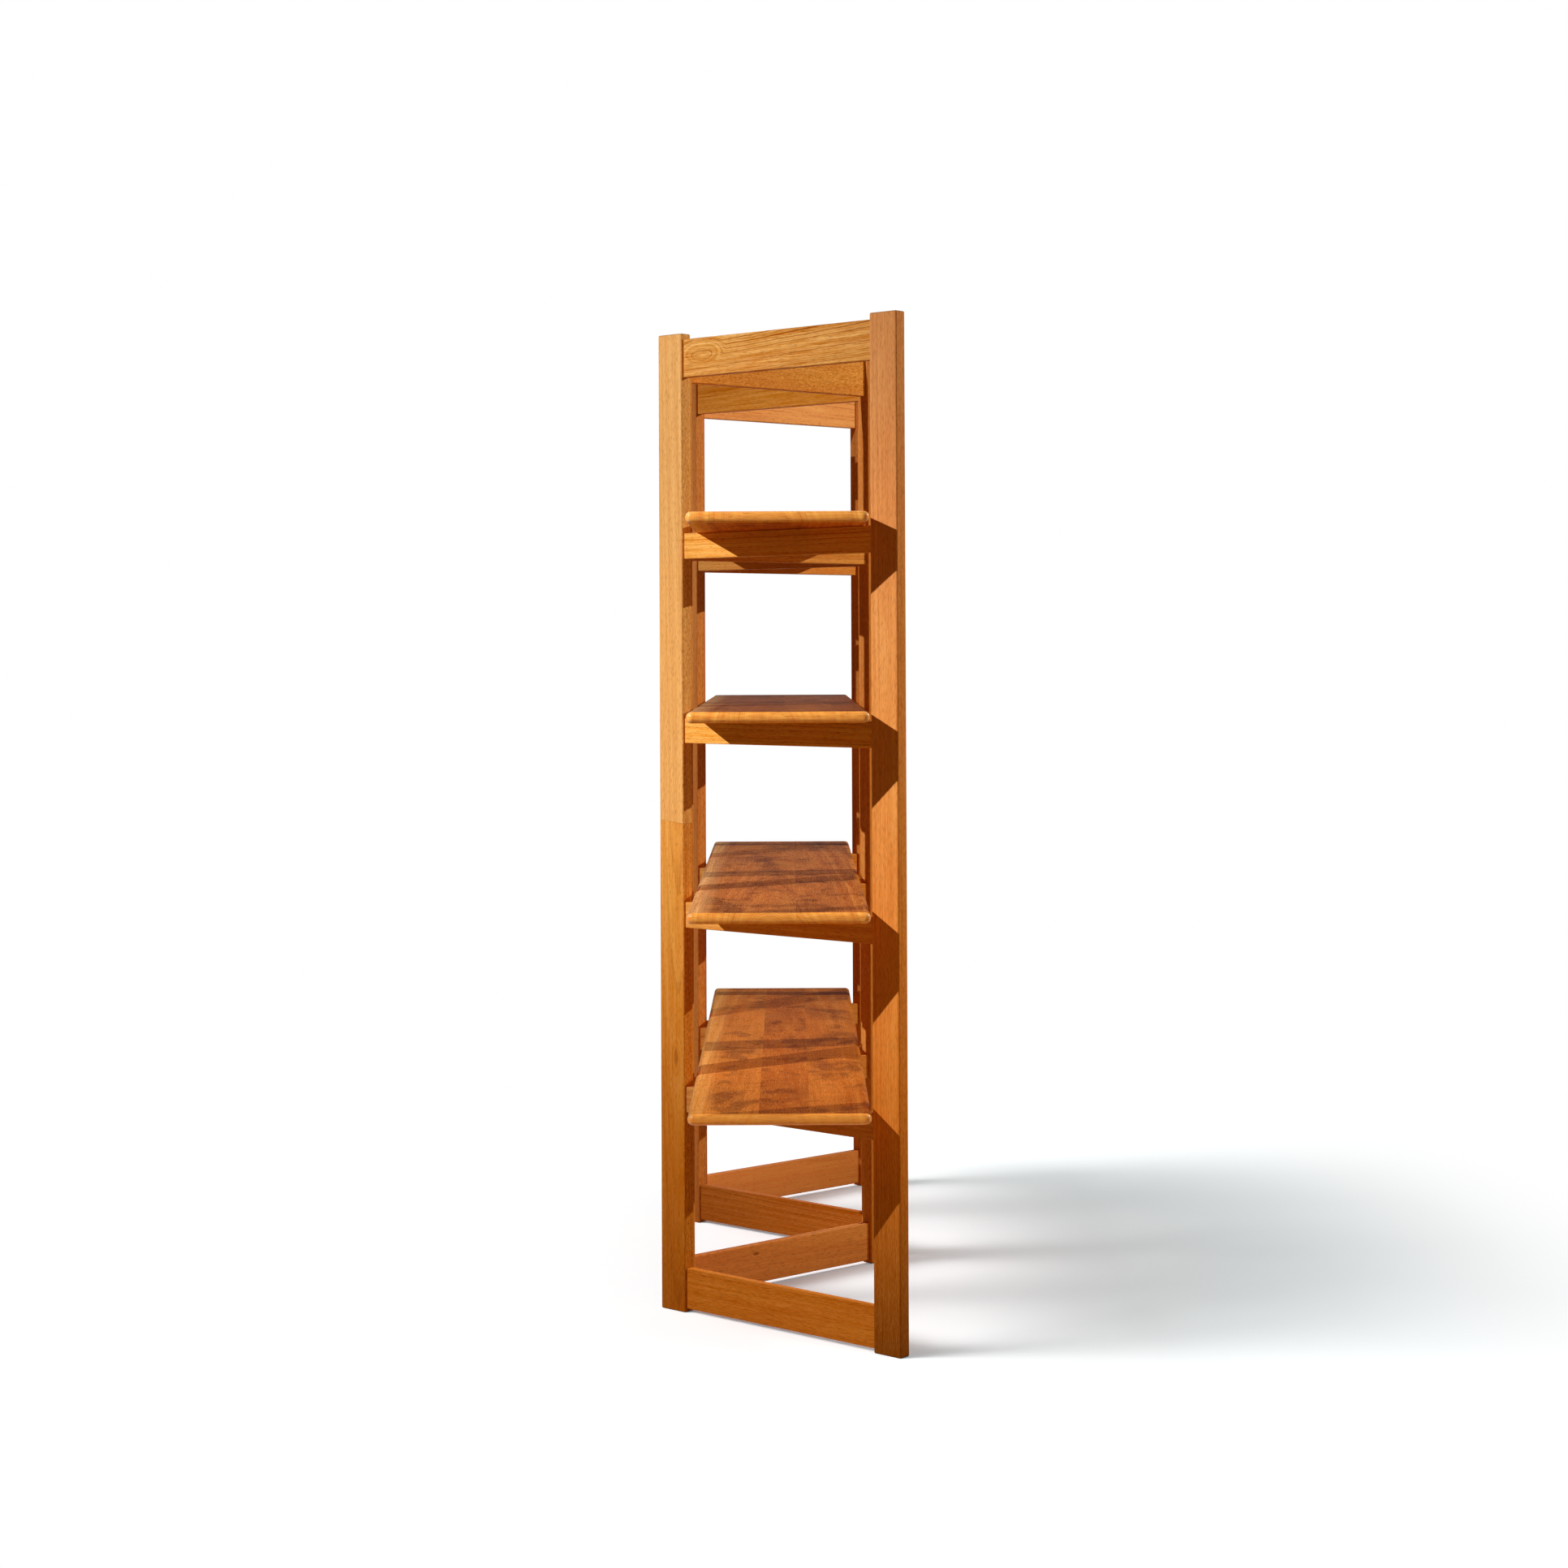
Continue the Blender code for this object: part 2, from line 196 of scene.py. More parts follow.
# Teak. The boards carry their own coordinates, in metres: place is (along, across, through) from the
# board's middle, seed shifts the noise from board to board, rings is place measured from the heart of
# the log, mark is centred on a knot or eye, tone is (warmth, lightness, depth of hue), finish is
# (worn edge, end grain, distance from a glued joint) and figure is how plainly its rings, a knot and
# dashes show. Patches are counted to the metre, along, across and through. A pair of levels is where
# something begins to show and where it is full.
teak = {
    "golden": shade(243, 184, 113),
    "amber": shade(230, 150, 82),
    "russet": shade(212, 124, 74),
    "lateWood": shade(162, 88, 30),
    "fleck": shade(130, 64, 18),
    "heart": shade(150, 86, 26),
    "paleWood": shade(248, 200, 140),
    "amberLevels": (0.0, 0.55),  # of warmth
    "russetLevels": (0.45, 1.15),
    "blotchWarmth": 0.6,
    "blotches": {"patches": (2.6, 16.0, 16.0)},
    "ringWidth": 0.0030,
    "ringDark": (0.46, 0.90),  # shares of a ring's width
    "ringBreak": (1.0, 0.95),
    "ringStrengths": (0.15, 1.0, 0.12, 1.0),  # a chance from 0.15 to 1 gives a strength from 0.12 to 1
    "lateWoodDepth": 0.50,
    "wander": 0.0060,
    "drift": {"patches": (1.9, 11.0, 11.0), "roughness": 0.45, "output": "Color"},
    "ripple": 0.0016,
    "ripples": {"patches": (14.0, 30.0, 30.0), "detail": 1.0},
    "swellReach": 3.0,  # square of the distance from a mark, in its own sizes
    "knotLevels": (0.70, 0.15),
    "bandsPerRing": 0.35,
    "fleckSize": (0.010, 0.0009),  # long, and wide
    "fleckLevels": (0.57, 0.72),
    "fleckDepth": 0.42,
    "fleckFades": 0.4,  # across a ring
    "palePores": 0.16,
    "paleLevels": (0.38, 0.26),
    "dashes": {"patches": (170.0, 420.0, 420.0), "detail": 1.0, "roughness": 0.6},
    "fibres": {"patches": (18.0, 620.0, 620.0), "roughness": 0.6},
    "streaks": {"patches": (2.6, 210.0, 210.0), "detail": 3.0, "roughness": 0.65},
    "glow": {"bands": 0.50, "streaks": 0.50, "fibres": 0.56},
    "plainness": (0.5, 0.35),  # of the glow: for each unit of figure, and at the least
    "swing": (1.0, 1.9, 2.6),  # how far the glow moves red, green and blue
    "hueDepth": (0.0, 0.14, 0.62),  # what depth of hue takes from red, green and blue
    "contrast": 1.0,
    "wearShown": 0.35,
    "wearLevels": (0.40, 1.05),
    "endGrainDark": 0.38,
    "beyondShift": (0.37, 0.095, 0.052),  # past a glued joint
    "beyondFigure": 2.2,
    "beyondWarmth": 0.40,
    "beyondHue": 0.60,
    "seam": (0.0006, 0.0001),
    "seamDepth": 0.40,
    "roughness": 0.50,
    "fleckRough": 0.14,
    "streakRough": 0.10,
    "endGrainRough": 0.12,
    "gloss": 0.03,
    "coat": 0.02,
    "coatRoughness": 0.30,
    "bump": 0.00012,
    "bumpStrength": 0.55,
    "relief": {"fibres": 0.45, "flecks": -1.1, "lateWood": -0.35},
}


# The numbers that a board's mesh carries, by name
def boardInputs(recipe):
    board = {name: recipe.attribute(name) for name in ("place", "seed", "rings", "mark")}
    board["warmth"], board["lightness"], board["depth"] = recipe.parts(recipe.attribute("tone"))
    board["wear"], board["endGrain"], board["joint"] = recipe.parts(recipe.attribute("finish"))
    board["figure"], board["knot"], board["speckle"] = recipe.parts(recipe.attribute("figure"))
    return board


# What the grain is made of: growth rings, streaks, fibres, pores and short dashes
def teakGrain(recipe, look, board, shift):
    grain = recipe.vector("ADD", recipe.vector("ADD", board["place"], board["seed"]), shift)
    # Distance from the heart of the log, wandering slowly along the board, swollen round a knot
    _, ringAcross, ringThrough = recipe.parts(recipe.vector("ADD", board["rings"], shift))
    drift = recipe.noise(grain, **look["drift"])
    ripple = recipe.noise(grain, **look["ripples"])
    driftAcross, driftThrough, _ = recipe.parts(drift)
    across = ringAcross + (driftAcross - 0.5) * look["wander"]
    through = ringThrough + (driftThrough - 0.5) * look["wander"]
    radial = recipe.maths("SQRT", across * across + through * through)
    markAlong, markAcross, markStrength = recipe.parts(board["mark"])
    fromMark = markAlong * markAlong + markAcross * markAcross
    swell = recipe.rise(fromMark, look["swellReach"], 0.0) * markStrength
    phase = (radial + swell + (ripple - 0.5) * look["ripple"]) / look["ringWidth"]
    within = recipe.maths("FRACT", phase)
    strength = recipe.rise(recipe.lineRandom(recipe.maths("FLOOR", phase)), *look["ringStrengths"])
    lateWood = recipe.rise(within, *look["ringDark"]) * recipe.rise(within, *look["ringBreak"]) * strength
    long, wide = look["fleckSize"]
    pores = recipe.noise(grain, (1 / long, 1 / wide, 1 / wide), detail=0.0)
    dashes = recipe.noise(grain, **look["dashes"])
    plainByFigure, plainAtLeast = look["plainness"]
    return {
        "grain": grain,
        "lateWood": lateWood * board["figure"],
        "bands": recipe.lineNoise(phase * look["bandsPerRing"]),
        "fibres": recipe.noise(grain, **look["fibres"]),
        "streaks": recipe.noise(grain, **look["streaks"]),
        "blotches": recipe.noise(grain, **look["blotches"]),
        "flecks": recipe.rise(pores, *look["fleckLevels"]) * (1.0 - within * look["fleckFades"]),
        "palePores": recipe.rise(pores, *look["paleLevels"]),
        "speckle": (dashes - 0.5) * board["speckle"],
        "plainness": board["figure"] * plainByFigure + plainAtLeast,
        "knot": recipe.rise(fromMark, *look["knotLevels"]),
    }


def teakColour(recipe, look, warmth):
    colour = recipe.mix(recipe.rise(warmth, *look["amberLevels"]), look["golden"], look["amber"])
    return recipe.mix(recipe.rise(warmth, *look["russetLevels"]), colour, look["russet"])


# The board's colour with its streaks, bands, flecks and worn edges. Dark streaks are also deeper in hue
def drawGrain(recipe, look, colour, parts, lightness, depth, wear):
    glow = sum((parts[name] - 0.5) * share for name, share in look["glow"].items())
    glow = (glow * parts["plainness"] + parts["speckle"]) * look["contrast"]
    level = recipe.joined(*((glow * swing + 1.0 - depth * taken) * lightness
                            for swing, taken in zip(look["swing"], look["hueDepth"])))
    colour = recipe.mix(1.0, colour, level, "MULTIPLY")
    colour = recipe.mix(parts["flecks"] * look["fleckDepth"], colour, look["fleck"])
    colour = recipe.mix(parts["palePores"] * look["palePores"], colour, look["paleWood"])
    edge = recipe.rise(wear * (parts["fibres"] + 0.5), *look["wearLevels"])
    return recipe.mix(edge * look["wearShown"], colour, look["paleWood"])


def finishWood(recipe, look, colour, parts, endGrain, coat, material):
    height = sum(parts[name] * share for name, share in look["relief"].items())
    bump = recipe.node("ShaderNodeBump", {}, {
        "Strength": look["bumpStrength"], "Distance": look["bump"], "Height": height})
    rough = look["roughness"] + parts["flecks"] * look["fleckRough"]
    rough = rough + (parts["streaks"] - 0.5) * look["streakRough"] + endGrain * look["endGrainRough"]
    surface = recipe.node("ShaderNodeBsdfPrincipled", {}, {
        "Base Color": colour, "Roughness": rough, "Normal": bump, "Specular IOR Level": look["gloss"],
        "Coat Weight": coat, "Coat Roughness": look["coatRoughness"]})
    recipe.node("ShaderNodeOutputMaterial", {}, [surface])
    return material


def frameTeak(look):
    material, recipe = newMaterial("honeyTeak")
    board = boardInputs(recipe)
    # Past a glued joint the grain is another board's, warmer and plainer to see
    beyond = board["joint"] < 0.0
    shift = recipe.joined(*(beyond * step for step in look["beyondShift"]))
    board["figure"] = board["figure"] * (1.0 + beyond * look["beyondFigure"])
    parts = teakGrain(recipe, look, board, shift)
    warmth = board["warmth"] + beyond * look["beyondWarmth"]
    colour = teakColour(recipe, look, warmth + (parts["blotches"] - 0.5) * look["blotchWarmth"])
    colour = recipe.mix(parts["lateWood"] * look["lateWoodDepth"], colour, look["lateWood"])
    lightness = board["lightness"] * (1.0 - board["endGrain"] * look["endGrainDark"])
    depth = board["depth"] + beyond * look["beyondHue"]
    colour = drawGrain(recipe, look, colour, parts, lightness, depth, board["wear"])
    colour = recipe.mix(parts["knot"] * board["knot"], colour, look["heart"])
    seam = recipe.rise(recipe.maths("ABSOLUTE", board["joint"]), *look["seam"])
    colour = recipe.mix(seam * look["seamDepth"], colour, look["fleck"])
    return finishWood(recipe, look, colour, parts, board["endGrain"], look["coat"], material)


shelfTeak = {
    **teak,
    "golden": shade(232, 148, 74),
    "amber": shade(204, 118, 54),
    "russet": shade(170, 90, 46),
    "lateWood": shade(124, 60, 26),
    "fleck": shade(88, 34, 10),
    "russetLevels": (0.45, 1.1),
    "blotchWarmth": 0.8,
    "staveShift": (9.0, 0.10, 0.05),  # how far the grain may move from one stave to the next
    "stain": shade(97, 41, 20),
    "stainDepth": 0.74,
    "stainShare": 0.55,  # of the spots and of the clouds
    "spots": {"patches": (14.0, 18.0, 18.0), "distortion": 0.6},
    "spotLevels": (0.54, 0.64),
    "spotsByCloud": 0.4,
    "clouds": {"patches": (3.6, 9.0, 9.0), "roughness": 0.6},
    "cloudLevels": (0.36, 0.74),
    "crossRipple": 0.28,
    "crossRipples": {"patches": (140.0, 12.0, 12.0), "roughness": 0.6, "distortion": 0.3},
    "lippingWidth": 0.0085,
    # The end strips' colours are paler and their lightness higher than the board's: painted light on the
    # noses, which face the front
    "lipping": shade(253, 182, 92),
    "lippingDark": shade(236, 148, 60),
    "lippingLevels": (0.42, 0.72),
    "lippingPaintedLight": 1.36,
    "lippingHue": 0.3,
    "lippingCoat": 0.60,
    "margin": 0.050,  # from the long edge to where its paling begins, and to where it is full
    "marginFull": 0.008,
    "marginClean": 0.85,
    "marginPale": 0.52,
    "marginLight": 0.08,
    "gloss": 0.003,
    "ringWidth": 0.0042,
    "wander": 0.020,
    "ripple": 0.0010,
    "fleckSize": (0.018, 0.0011),
    "fleckDepth": 0.50,
    "palePores": 0.22,
    "contrast": 1.2,
    "wearShown": 0.60,
}


def shelfWood(look, halfWidth, halfLength):
    material, recipe = newMaterial("shelfTeak")
    board = boardInputs(recipe)
    along, across, through = recipe.parts(board["place"])
    # Staves: which one a point is on, counted by the joints that it is past
    past = [across > edge for edge in recipe.parts(recipe.attribute("staves"))]
    steps = recipe.parts(recipe.attribute("staveSteps"))
    chance = recipe.lineRandom(sum(past, recipe.parts(board["seed"])[0]), "Color")
    chanceAlong, chanceAcross, chanceThrough = recipe.parts(chance)
    shiftAlong, shiftAcross, shiftThrough = look["staveShift"]
    shift = recipe.joined(chanceAlong * shiftAlong, (chanceAcross - 0.5) * shiftAcross,
                          (chanceThrough - 0.5) * shiftThrough)
    # The strip across each end has its grain along the end
    lipping = recipe.maths("ABSOLUTE", along) > (halfLength - look["lippingWidth"])
    board["place"] = recipe.mixVector(lipping, board["place"], recipe.joined(across, along, through))
    parts = teakGrain(recipe, look, board, shift)
    # Dark spots as wide as a thumb lie in long soft clouds
    spots = recipe.noise(parts["grain"], **look["spots"])
    cloud = recipe.noise(parts["grain"], **look["clouds"])
    spotted = recipe.rise(spots + (cloud - 0.5) * look["spotsByCloud"], *look["spotLevels"])
    clouded = recipe.rise(cloud, *look["cloudLevels"])
    stain = spotted * look["stainShare"] + clouded * look["stainShare"]
    # One long edge, the left one, is drawn paler and lighter, with less stain towards it
    margin = recipe.rise(across, look["margin"] - halfWidth, look["marginFull"] - halfWidth)
    stain = stain * (1.0 - margin * look["marginClean"])
    # Fine ripples run across the board
    ripples = recipe.noise(parts["grain"], **look["crossRipples"])
    parts["speckle"] = parts["speckle"] + (ripples - 0.5) * look["crossRipple"] * (1.0 - lipping)
    warmth = board["warmth"] + sum(beyond * step for beyond, step in zip(past, steps))
    colour = teakColour(recipe, look, warmth + (parts["blotches"] - 0.5) * look["blotchWarmth"])
    colour = recipe.mix(stain * look["stainDepth"], colour, look["stain"])
    colour = recipe.mix(margin * look["marginPale"], colour, look["paleWood"])
    stripDark = recipe.rise(parts["streaks"], *look["lippingLevels"])
    colour = recipe.mix(lipping, colour, recipe.mix(stripDark, look["lipping"], look["lippingDark"]))
    colour = recipe.mix(parts["lateWood"] * look["lateWoodDepth"], colour, look["lateWood"])
    lightness = board["lightness"] + margin * look["marginLight"]
    # Painted light: the end strips are drawn lighter than the rest of the board
    lightness = lightness + (look["lippingPaintedLight"] - lightness) * lipping
    depth = board["depth"] + (look["lippingHue"] - board["depth"]) * lipping
    colour = drawGrain(recipe, look, colour, parts, lightness, depth, board["wear"])
    endGrain = board["endGrain"] * (1.0 - lipping)
    return finishWood(recipe, look, colour, parts, endGrain, lipping * look["lippingCoat"], material)


# Boards

# Rounded rectangle: quarter circles about the four inner corners, joined by straight runs. Gives the
# corner that each point belongs to and its direction from there, as (corner a, corner b, a, b)
def roundedOutline(halfA, halfB, radius, steps):
    angle = ((np.arange(4)[:, None] + np.linspace(0, 1, steps + 1)) * pi / 2).ravel()
    cornerA = np.repeat(np.array([1, -1, -1, 1]) * (halfA - radius), steps + 1)
    cornerB = np.repeat(np.array([1, 1, -1, -1]) * (halfB - radius), steps + 1)
    return cornerA, cornerB, np.cos(angle), np.sin(angle)


# The outline carried up through the slab: reach = outline radius - edge radius + edge radius x cosine
# of the latitude, height = inner height + edge radius x its sine. Rows by points by (a, b, c)
def slabSurface(halves, outlineRadius, edgeRadius, steps):
    cornerA, cornerB, towardA, towardB = roundedOutline(halves[0], halves[1], outlineRadius, steps)
    latitude = np.concatenate([np.linspace(-pi / 2, 0, steps + 1), np.linspace(0, pi / 2, steps + 1)])
    inner = np.repeat([-1.0, 1.0], steps + 1) * (halves[2] - edgeRadius)
    reach = outlineRadius - edgeRadius + edgeRadius * np.cos(latitude)
    height = inner + edgeRadius * np.sin(latitude)
    across = cornerA + reach[:, None] * towardA
    through = cornerB + reach[:, None] * towardB
    return np.stack([across, through, np.broadcast_to(height[:, None], across.shape)], axis=-1)


nearZero = 1e-9  # keeps a length off zero where something is divided by it


# Unit normal of that slab at any point: the way to it from the inner slab that the edges roll round,
# and how far off the rolled surface the point lies
def slabNormals(points, halves, outlineRadius, edgeRadius):
    inner = np.array([halves[0] - outlineRadius, halves[1] - outlineRadius])
    flat = points[:, :2] - np.clip(points[:, :2], -inner, inner)
    length = np.linalg.norm(flat, axis=1)
    beyond = np.maximum(length - (outlineRadius - edgeRadius), 0)
    flat = flat / np.maximum(length, nearZero)[:, None] * beyond[:, None]
    rise = points[:, 2] - np.clip(points[:, 2], edgeRadius - halves[2], halves[2] - edgeRadius)
    normal = np.column_stack([flat, rise])
    size = np.linalg.norm(normal, axis=1)
    return normal / np.maximum(size, nearZero)[:, None], np.abs(size - edgeRadius)


# Quads between neighbouring rows of a closed ring of points, and a face over each end ring
def ringFaces(rows, columns):
    start = np.arange(rows - 1)[:, None] * columns
    here = np.arange(columns)[None, :]
    following = (here + 1) % columns
    lower = (start + here, start + following)
    upper = (start + columns + following, start + columns + here)
    quads = np.stack([*lower, *upper], axis=-1)
    caps = [list(range(columns))[::-1], list(range((rows - 1) * columns, rows * columns))]
    return quads.reshape(-1, 4).tolist() + caps


meshing = {
    "mergeWithin": 2e-6,
    "shortestEdge": 1e-7,
    "offSurface": 1e-5,  # a point farther than this off the rolled surface lies on a cut face
}


# A closed mesh from a grid of points, its doubled points merged and its faces turned outwards
def closedMesh(name, grid):
    mesh = bpy.data.meshes.new(name)
    rows, columns = grid.shape[:2]
    mesh.from_pydata(grid.reshape(-1, 3).tolist(), [], ringFaces(rows, columns))
    shape = bmesh.new()
    shape.from_mesh(mesh)
    bmesh.ops.remove_doubles(shape, verts=shape.verts, dist=meshing["mergeWithin"])
    bmesh.ops.dissolve_degenerate(shape, edges=shape.edges, dist=meshing["shortestEdge"])
    bmesh.ops.recalc_face_normals(shape, faces=shape.faces)
    shape.to_mesh(mesh)
    shape.free()
    mesh.shade_smooth()
    return mesh


def readPoints(mesh):
    points = np.empty(len(mesh.vertices) * 3)
    mesh.vertices.foreach_get("co", points)
    return points.reshape(-1, 3)


# Corner normals: the rolled surface's own, and the face's own where a face is cut into the board
def cornerNormals(mesh, normals, away):
    corners = np.empty(len(mesh.loops), int)
    mesh.loops.foreach_get("vertex_index", corners)
    counts = np.empty(len(mesh.polygons), int)
    mesh.polygons.foreach_get("loop_total", counts)
    faceNormals = np.empty(len(mesh.polygons) * 3)
    mesh.polygons.foreach_get("normal", faceNormals)
    owner = np.repeat(np.arange(len(counts)), counts)
    cut = np.zeros(len(counts), bool)
    np.logical_or.at(cut, owner, away[corners] > meshing["offSurface"])
    return np.where(cut[owner][:, None], faceNormals.reshape(-1, 3)[owner], normals[corners])


def addVectors(mesh, name, values):
    attribute = mesh.attributes.new(name, "FLOAT_VECTOR", "POINT")
    attribute.data.foreach_set("vector", np.ascontiguousarray(values, np.float32).ravel())


# What boards have in common, and how far the generator makes them differ
boardLooks = {
    "seedSpread": 40.0,
    "heartNear": 0.045,
    "heartFar": 0.16,
    "heartAngles": (0.25, 1.2),
    "tilt": 0.022,
    "tone": (0.40, 1.0, 0.55),
    "toneSpread": (0.25, 0.06, 0.0),
    "figure": 0.5,
    "speckle": 0.35,
    # Painted shade: below this height a post's foot is drawn darker, standing in for the light that falls
    # off toward the floor
    "footShadeFrom": -0.45,  # the height, from a post's middle, where its foot begins to darken
    "wornRound": 0.42,
    "wornCorner": 5.2,  # on the shelves, at corners and along edges
    "wornEdge": 0.5,
}

faraway = 9.0  # metres, past the end of any board
noMark = ((faraway, faraway), (1.0, 1.0), 0.0)


# Dresses a board's mesh with the coordinates that its wood is drawn on. axes says which of the slab's
# own axes run along, across and through the board
def dressBoard(mesh, axes, normals, character, generator, joint=None, staves=None):
    points = readPoints(mesh)
    place = points[:, axes]
    count = len(place)
    seed = generator.uniform(-1, 1, 3) * boardLooks["seedSpread"]
    angle = generator.uniform(*boardLooks["heartAngles"])
    distance = generator.uniform(boardLooks["heartNear"], boardLooks["heartFar"])
    heart = character.get("heart", (distance * sin(angle), distance * cos(angle)))
    tilt = character.get("tilt", generator.uniform(-1, 1) * boardLooks["tilt"])
    rings = place - np.array([0.0, *heart])
    rings[:, 2] += tilt * place[:, 0]
    rings[:, 1] += character.get("slant", 0.0) * place[:, 0]
    markAt, markSize, strength = character.get("mark", noMark)
    fromMark = (place[:, :2] - np.array(markAt)) / np.array(markSize)
    chance = np.append(generator.uniform(-1, 1, 2), 0.0) * boardLooks["toneSpread"]
    # Below the height where it turns, a post's tone changes by so much to the metre. This is painted shade:
    # deeper in hue towards the foot, where less light falls
    low = np.maximum(character.get("turns", -faraway) - place[:, 0], 0)
    foot = np.maximum(boardLooks["footShadeFrom"] - place[:, 0], 0)
    tone = np.array(character.get("tone", boardLooks["tone"] + chance))
    tone = tone + low[:, None] * np.array(character.get("shadeTurnsBy", (0.0, 0.0, 0.0)))
    # Painted shade: the foot is drawn darker, by so much to the metre, where less light reaches it near the
    # floor
    tone[:, 1] -= foot * character.get("footShadeDarkens", 0.0)
    # Painted light: faces that look down are drawn lighter, standing in for the light thrown up from the
    # floor
    tone[:, 1] *= 1 + np.maximum(-normals[:, axes[2]], 0) * character.get("underside", 0.0)
    rounded = 1 - np.abs(normals).max(axis=1)
    if staves is None:
        wear = rounded / boardLooks["wornRound"]
    else:
        wear = np.abs(normals).prod(axis=1) * boardLooks["wornCorner"] + rounded * boardLooks["wornEdge"]
    endGrain = np.abs(normals[:, axes[0]])
    fromJoint = np.ones(count) if joint is None else place @ np.array(joint)
    addVectors(mesh, "place", place)
    addVectors(mesh, "seed", np.tile(seed, (count, 1)))
    addVectors(mesh, "rings", rings)
    addVectors(mesh, "mark", np.column_stack([fromMark, np.full(count, strength)]))
    addVectors(mesh, "tone", tone)
    addVectors(mesh, "finish", np.column_stack([wear, endGrain, fromJoint]))
    figure = np.full(count, character.get("figure", boardLooks["figure"]))
    knot = np.full(count, character.get("knot", 0.0))
    speckle = np.abs(normals[:, axes[1]]) * character.get("speckle", boardLooks["speckle"])
    speckle = speckle + np.abs(normals[:, axes[2]]) * character.get("flatSpeckle", 0.0)
    addVectors(mesh, "figure", np.column_stack([figure, knot, speckle]))
    if staves is not None:
        addVectors(mesh, "staves", np.tile(staves, (count, 1)))
        addVectors(mesh, "staveSteps", np.tile(character["steps"], (count, 1)))


# From a ladder frame's own axes to the world's
def turning(turn):
    return np.array([[cos(turn), -sin(turn), 0], [sin(turn), cos(turn), 0], [0, 0, 1]])


# Puts a finished mesh where it belongs: slab axes to the frame's axes, then turned and moved with it
def settle(mesh, normals, away, toFrame, middle, turn, origin):
    loops = cornerNormals(mesh, normals, away)
    matrix = turning(turn) @ toFrame
    points = readPoints(mesh) @ matrix.T + turning(turn) @ np.array(middle) + np.array(origin)
    mesh.vertices.foreach_set("co", points.astype(np.float32).ravel())
    if np.linalg.det(matrix) < 0:
        raise ValueError("a board's axes would turn it inside out")
    mesh.update()
    mesh.normals_split_custom_set((loops @ matrix.T).tolist())


def addPiece(name, mesh, material, node):
    piece = bpy.data.objects.new(name, mesh)
    bpy.context.scene.collection.objects.link(piece)
    mesh.materials.clear()
    mesh.materials.append(material)
    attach(piece, bodyOf[node])
    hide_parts(node)


# Where a CAD node lies in its frame's own axes
def nodeSpan(node, turn, origin):
    points = readPoints(frame["nodes"][node].data) - np.array(origin)
    local = points @ turning(turn)
    return local.min(axis=0), local.max(axis=0)


def halvesAndMiddle(low, high):
    return (high - low) / 2, (high + low) / 2


# The way a ladder frame runs, as an angle, and the point on the floor midway between its posts
def ladderFrame(number):
    left, right = (sum(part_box(f"frame{number}_{side}_post"), Vector()) / 2 for side in ("left", "right"))
    middle = (left + right) / 2
    run = right - left
    return atan2(run.y, run.x), (middle.x, middle.y, 0.0)


posts = {
    "edgeRadius": 0.003,
    "arcSteps": 5,
    "leafDepth": 0.0019,  # the hinge leaves lie this deep in their post
    "leafReach": 0.0343,  # from the post's outer edge to the recess's inner end
    "leafGap": 0.0003,
    "barrelRadius": 0.0037,
    "barrelOut": 0.001,  # the pin's axis stands this far off the post's face
    "pinOver": 0.0018,  # the housing runs on past the leaf for the pin's head
    "plainRows": 20,  # rows of points that the post's change of colour along it needs
    "rowGap": 0.004,  # none of them lies nearer than this to a hinge's own rows
}


# The post's outline, carried up the post. Behind a hinge leaf its points are held down to the recess's
# floor, and round the pin to a circle about its axis: b = axis - sqrt(radius^2 - (a - axis a)^2)
def postSurface(halves, levels, look):
    halfA, halfB, halfC = halves
    radius, steps = look["edgeRadius"], look["arcSteps"]
    cornerA, cornerB, towardA, towardB = roundedOutline(halfA, halfB, radius, steps)
    leafEnd = -halfA + look["leafReach"]
    barrelEnd = -halfA + (look["barrelRadius"] ** 2 - look["barrelOut"] ** 2) ** 0.5
    # Three more points on the hinge face: two where the leaf's recess ends, one where the pin's housing does
    extra = np.array([leafEnd, leafEnd, barrelEnd])
    split = steps + 1
    cornerA = np.concatenate([cornerA[:split], extra, cornerA[split:]])
    cornerB = np.concatenate([cornerB[:split], np.full(3, halfB - radius), cornerB[split:]])
    towardA = np.concatenate([towardA[:split], np.zeros(3), towardA[split:]])
    towardB = np.concatenate([towardB[:split], np.ones(3), towardB[split:]])
    inRecess = np.zeros(len(cornerA), bool)
    inRecess[split + 1:split + 3 + steps + 1] = True
    # Rows: the lower end's roll, each change of outline twice at one height, the upper end's roll
    rows = [(-(halfC - radius), latitude, False, False) for latitude in np.linspace(-pi / 2, 0, steps + 1)]
    plain = np.linspace(-halfC, halfC, look["plainRows"])[1:-1]
    for low, high in levels:
        below = low - look["pinOver"]
        above = high + look["pinOver"]
        rows += [(below, 0, False, False), (below, 0, True, False)]
        rows += [(low, 0, True, False), (low, 0, True, True)]
        rows += [(high, 0, True, True), (high, 0, True, False)]
        rows += [(above, 0, True, False), (above, 0, False, False)]
        plain = plain[(plain < below - look["rowGap"]) | (plain > above + look["rowGap"])]
    rows += [(height, 0, False, False) for height in plain.tolist()]
    rows += [(halfC - radius, latitude, False, False) for latitude in np.linspace(0, pi / 2, steps + 1)]
    rows.sort(key=lambda row: row[0])
    centre, latitude, barrel, leaf = (np.array(column) for column in zip(*rows))
    reach = (radius * np.cos(latitude))[:, None]
    a = cornerA + reach * towardA
    b = cornerB + reach * towardB
    c = np.broadcast_to((centre + radius * np.sin(latitude))[:, None], a.shape)
    b = np.where(leaf[:, None] & inRecess, np.minimum(b, halfB - look["leafDepth"]), b)
    inside = np.maximum(look["barrelRadius"] ** 2 - (a + halfA) ** 2, 0)
    circle = halfB + look["barrelOut"] - np.sqrt(inside)
    b = np.where(barrel[:, None] & inRecess & (inside > 0), np.minimum(b, circle), b)
    return np.stack([a, b, c], axis=-1)
